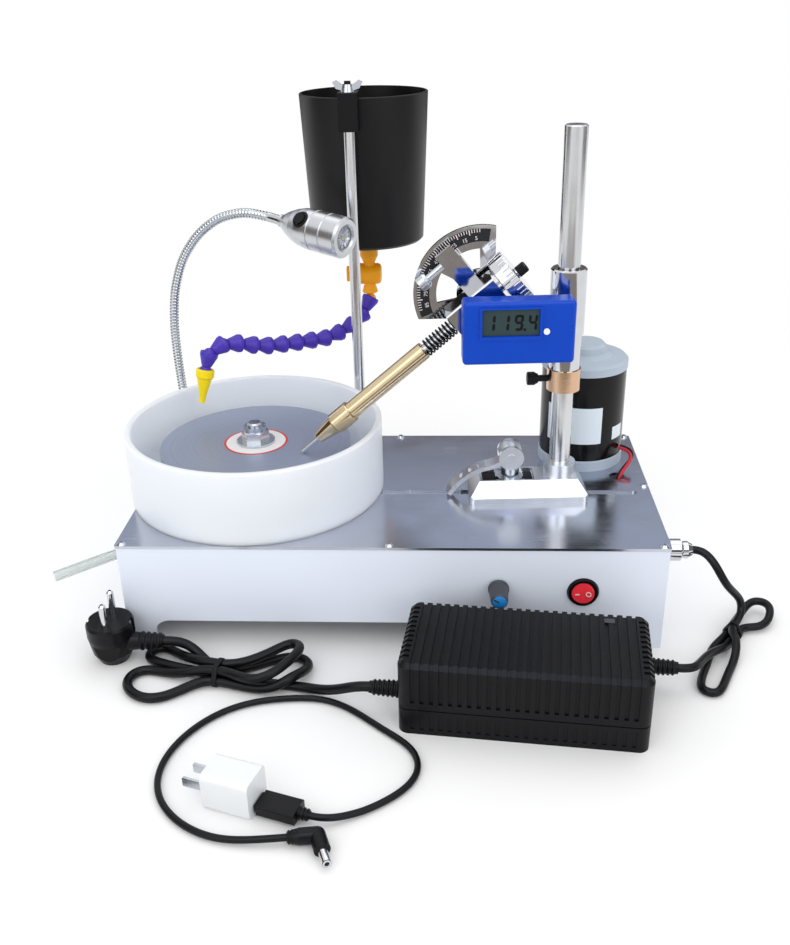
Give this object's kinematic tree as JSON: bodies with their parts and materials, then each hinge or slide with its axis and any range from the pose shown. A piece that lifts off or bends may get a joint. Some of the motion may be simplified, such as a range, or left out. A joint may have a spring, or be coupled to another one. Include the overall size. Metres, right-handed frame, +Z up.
{
  "type": "gem faceting machine",
  "caption": "Bench gem faceting machine: a flat lap in a splash bowl, an angle head on a sliding mast, a drip tank, a gooseneck lamp and its power leads.",
  "frame": {"origin": "middle of the base box footprint, on the surface that it stands on", "axes": "+X to the right along the front panel, +Y from the front panel to the back, +Z up"},
  "size_m": [0.5436, 0.5131, 0.3827],
  "materials": {
    "white_panel": "satin",
    "brushed_plate": "brushed",
    "screw_steel": "satin",
    "bowl_plastic": "satin",
    "clear_tube": "clear",
    "machined_aluminium": "machined",
    "bearing_steel": "ground",
    "spindle_steel": "turned",
    "lap_grit": "fine abrasive",
    "belt_rubber": "matt",
    "motor_black": "gloss",
    "motor_cap": "cast",
    "lead_insulation": "satin",
    "switch_black": "gloss",
    "rocker_red": "gloss",
    "control_plastic": "satin",
    "knob_plastic": "matt",
    "inlet_metal": "plated",
    "cord_black": "satin",
    "brick_plastic": "fine texture",
    "plug_plastic": "satin",
    "charger_white": "satin",
    "rod_steel": "ground",
    "clip_plastic": "satin",
    "tank_plastic": "satin",
    "valve_orange": "gloss",
    "hose_purple": "gloss",
    "nozzle_yellow": "gloss",
    "neck_chrome": "plated",
    "lamp_aluminium": "satin",
    "lens_glass": "clear",
    "button_plastic": "satin",
    "mast_steel": "ground",
    "collar_brass": "turned",
    "head_steel": "polished",
    "display_blue": "gloss",
    "quadrant_steel": "engraved",
    "spring_steel": "oiled",
    "brass_polished": "polished"
  },
  "bodies": {
    "base": {"front_panel": "white_panel", "base_panels": "white_panel", "top_plate": "brushed_plate", "plate_screws": "screw_steel", "splash_bowl": "bowl_plastic", "drain_hose": "clear_tube", "spindle_housing": "machined_aluminium", "spindle_bearings": "bearing_steel", "drive_belt": "belt_rubber", "motor_can": "motor_black", "motor_end_caps": "motor_cap", "motor_leads": "lead_insulation", "switch_body": "switch_black", "speed_control": "control_plastic", "power_inlet": "inlet_metal", "dc_plug": "inlet_metal", "dc_cord": "cord_black", "power_brick": "brick_plastic", "mains_cord": "cord_black", "mains_plug": "plug_plastic", "cord_ties": "plug_plastic", "usb_charger": "charger_white", "lamp_plugs": "plug_plastic", "lamp_cord": "cord_black", "tank_rod": "rod_steel", "tank_clip": "clip_plastic", "water_tank": "tank_plastic", "tank_valve": "valve_orange"},
    "lap": {"spindle": "spindle_steel", "lap_platen": "machined_aluminium", "lap_disc": "lap_grit", "lap_fasteners": "screw_steel"},
    "motor_rotor": {"motor_shaft": "spindle_steel"},
    "carriage": {"mast_carriage": "machined_aluminium", "clamp_bolt": "screw_steel", "mast_post": "mast_steel"},
    "cam_lever": {"cam_lever": "inlet_metal"},
    "collar": {"stop_collar": "collar_brass"},
    "collar_screw": {"collar_screw": "screw_steel"},
    "head": {"head_sleeve": "head_steel", "angle_display": "display_blue", "quadrant": "quadrant_steel"},
    "display_button": {"display_button": "button_plastic"},
    "arm": {"pivot_block": "head_steel"},
    "lock_screw": {"lock_screw": "screw_steel"},
    "quill": {"quill_shaft": "spindle_steel", "quill_spring": "spring_steel", "brass_handle": "brass_polished", "dop_stick": "brass_polished", "index_wheel": "machined_aluminium"},
    "knob": {"speed_knob": "knob_plastic"},
    "rocker": {"switch_rocker": "rocker_red"},
    "wing_nut": {"wing_nut": "screw_steel"},
    "valve_handle": {"valve_handle": "valve_orange"},
    "hose": {"hose_links": "hose_purple"},
    "nozzle": {"hose_nozzle": "nozzle_yellow"},
    "lamp_arm": {"lamp_gooseneck": "neck_chrome"},
    "lamp_head": {"lamp_head": "lamp_aluminium", "lamp_lens": "lens_glass"},
    "lamp_button": {"lamp_button": "button_plastic"}
  },
  "joints": [
    {"name": "lap_spin", "type": "hinge", "parent": "base", "child": "lap", "pos_m": [-0.11, 0.002, 0.1], "axis": [0, 0, 1], "continuous": true},
    {"name": "motor_spin", "type": "hinge", "parent": "base", "child": "motor_rotor", "pos_m": [0.1525, 0.06, 0.1], "axis": [0, 0, 1], "continuous": true},
    {"name": "mast_shift", "type": "slide", "parent": "base", "child": "carriage", "axis": [1, 0, 0], "range_m": [-0.02, 0.01]},
    {"name": "lever_flip", "type": "hinge", "parent": "carriage", "child": "cam_lever", "pos_m": [0.09, -0.011, 0.118], "axis": [-0.0576, 0.9983, 0], "range_deg": [0, 100]},
    {"name": "collar_slide", "type": "slide", "parent": "carriage", "child": "collar", "axis": [0, 0, 1], "range_m": [0, 0.06]},
    {"name": "collar_screw_turn", "type": "hinge", "parent": "collar", "child": "collar_screw", "pos_m": [0.10468, -0.01015, 0.17975], "axis": [0.9983, 0.0576, 0], "range_deg": [0, 360]},
    {"name": "head_swing", "type": "hinge", "parent": "collar", "child": "head", "pos_m": [0.12794, -0.00881, 0.225], "axis": [0, 0, 1], "range_deg": [-4, 6]},
    {"name": "display_button_press", "type": "slide", "parent": "head", "child": "display_button", "axis": [-0.0576, 0.9983, 0], "range_m": [0, 0.0008], "stiffness_N_per_m": 400},
    {"name": "arm_tilt", "type": "hinge", "parent": "head", "child": "arm", "pos_m": [0.06734, -0.01231, 0.24], "axis": [-0.0576, 0.9983, 0], "range_deg": [0, 40]},
    {"name": "lock_screw_turn", "type": "hinge", "parent": "arm", "child": "lock_screw", "pos_m": [0.02819, -0.00154, 0.25472], "axis": [-0.7648, -0.0441, -0.6428], "range_deg": [0, 360]},
    {"name": "index_turn", "type": "hinge", "parent": "arm", "child": "quill", "pos_m": [0.06734, -0.01231, 0.24], "axis": [-0.7648, -0.0441, -0.6428], "continuous": true},
    {"name": "knob_turn", "type": "hinge", "parent": "base", "child": "knob", "pos_m": [0.0785, -0.11, 0.0525], "axis": [0, 1, 0], "range_deg": [0, 270]},
    {"name": "rocker_tilt", "type": "hinge", "parent": "base", "child": "rocker", "pos_m": [0.1395, -0.098, 0.0485], "axis": [0, 0, 1], "range_deg": [0, 16]},
    {"name": "wing_nut_turn", "type": "hinge", "parent": "base", "child": "wing_nut", "pos_m": [-0.034, 0.086, 0.378], "axis": [0, 0, 1], "range_deg": [0, 360]},
    {"name": "valve_turn", "type": "hinge", "parent": "base", "child": "valve_handle", "pos_m": [-0.04, 0.147, 0.219], "axis": [1, 0, 0], "range_deg": [0, 90]},
    {"name": "hose_swing", "type": "hinge", "parent": "base", "child": "hose", "pos_m": [-0.027, 0.147, 0.1965], "axis": [0, 0, 1], "range_deg": [-5, 12]},
    {"name": "nozzle_tilt", "type": "hinge", "parent": "hose", "child": "nozzle", "pos_m": [-0.1553, 0.0438, 0.1671], "axis": [0.627, -0.779, 0], "range_deg": [-10, 10]},
    {"name": "lamp_swing", "type": "hinge", "parent": "base", "child": "lamp_arm", "pos_m": [-0.187, 0.0855, 0.09], "axis": [0, 0, 1], "range_deg": [-4, 8]},
    {"name": "lamp_tilt", "type": "hinge", "parent": "lamp_arm", "child": "lamp_head", "pos_m": [-0.0885, 0.065, 0.283], "axis": [0.533, 0.8461, 0], "range_deg": [-10, 10]},
    {"name": "lamp_button_press", "type": "slide", "parent": "lamp_head", "child": "lamp_button", "axis": [0.3505, 0.6845, -0.6392], "range_m": [0, 0.0008], "stiffness_N_per_m": 400}
  ],
  "couplings": [
    {"joint": "motor_spin", "follows": "lap_spin", "ratio": 2}
  ]
}
